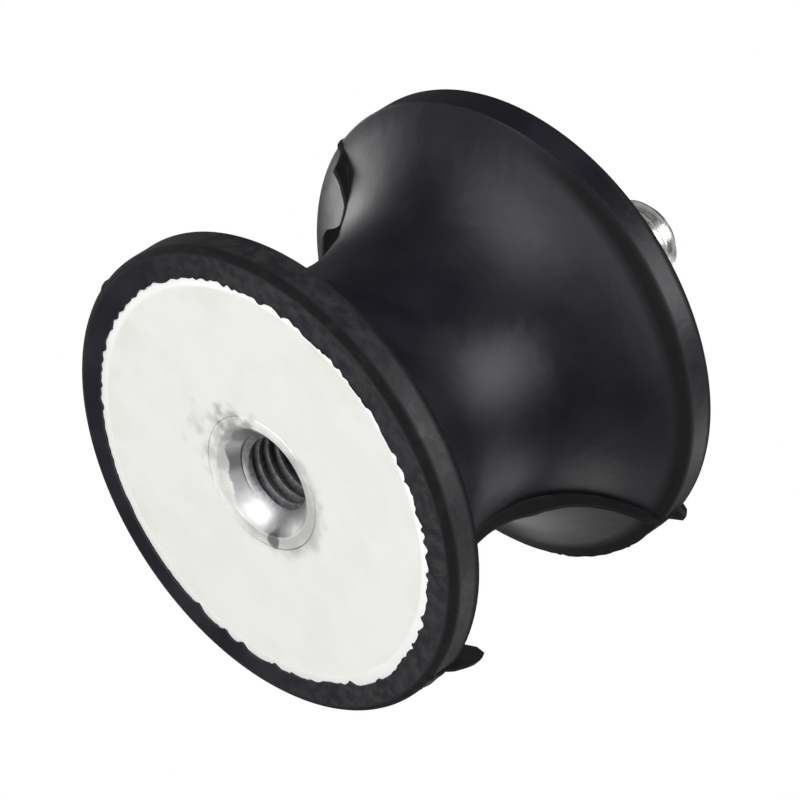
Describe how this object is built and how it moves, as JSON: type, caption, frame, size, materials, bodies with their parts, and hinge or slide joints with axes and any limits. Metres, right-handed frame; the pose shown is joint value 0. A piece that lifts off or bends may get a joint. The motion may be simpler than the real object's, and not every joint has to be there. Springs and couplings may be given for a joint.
{
  "type": "bobbin vibration mount",
  "caption": "Waisted rubber bobbin bonded between steel end plates, with a countersunk threaded insert at one end and a threaded stud at the other.",
  "frame": {"origin": "centre of the female end face, the lower one, which the mount stands on", "axes": "+Z along the mount's axis towards the stud; the mould's parting plane, with its fin of flash, is at 57 degrees from +X towards +Y"},
  "size_m": [0.057, 0.057, 0.065],
  "materials": {
    "rubber": "satin moulded",
    "plate_steel": "matt pale zinc plating",
    "insert_steel": "turned, bright zinc plating",
    "stud_steel": "bright zinc plating"
  },
  "bodies": {
    "root": {"rubber_body": "rubber", "female_plate": "plate_steel", "threaded_insert": "insert_steel", "male_plate": "plate_steel", "stud": "stud_steel"}
  },
  "joints": []
}
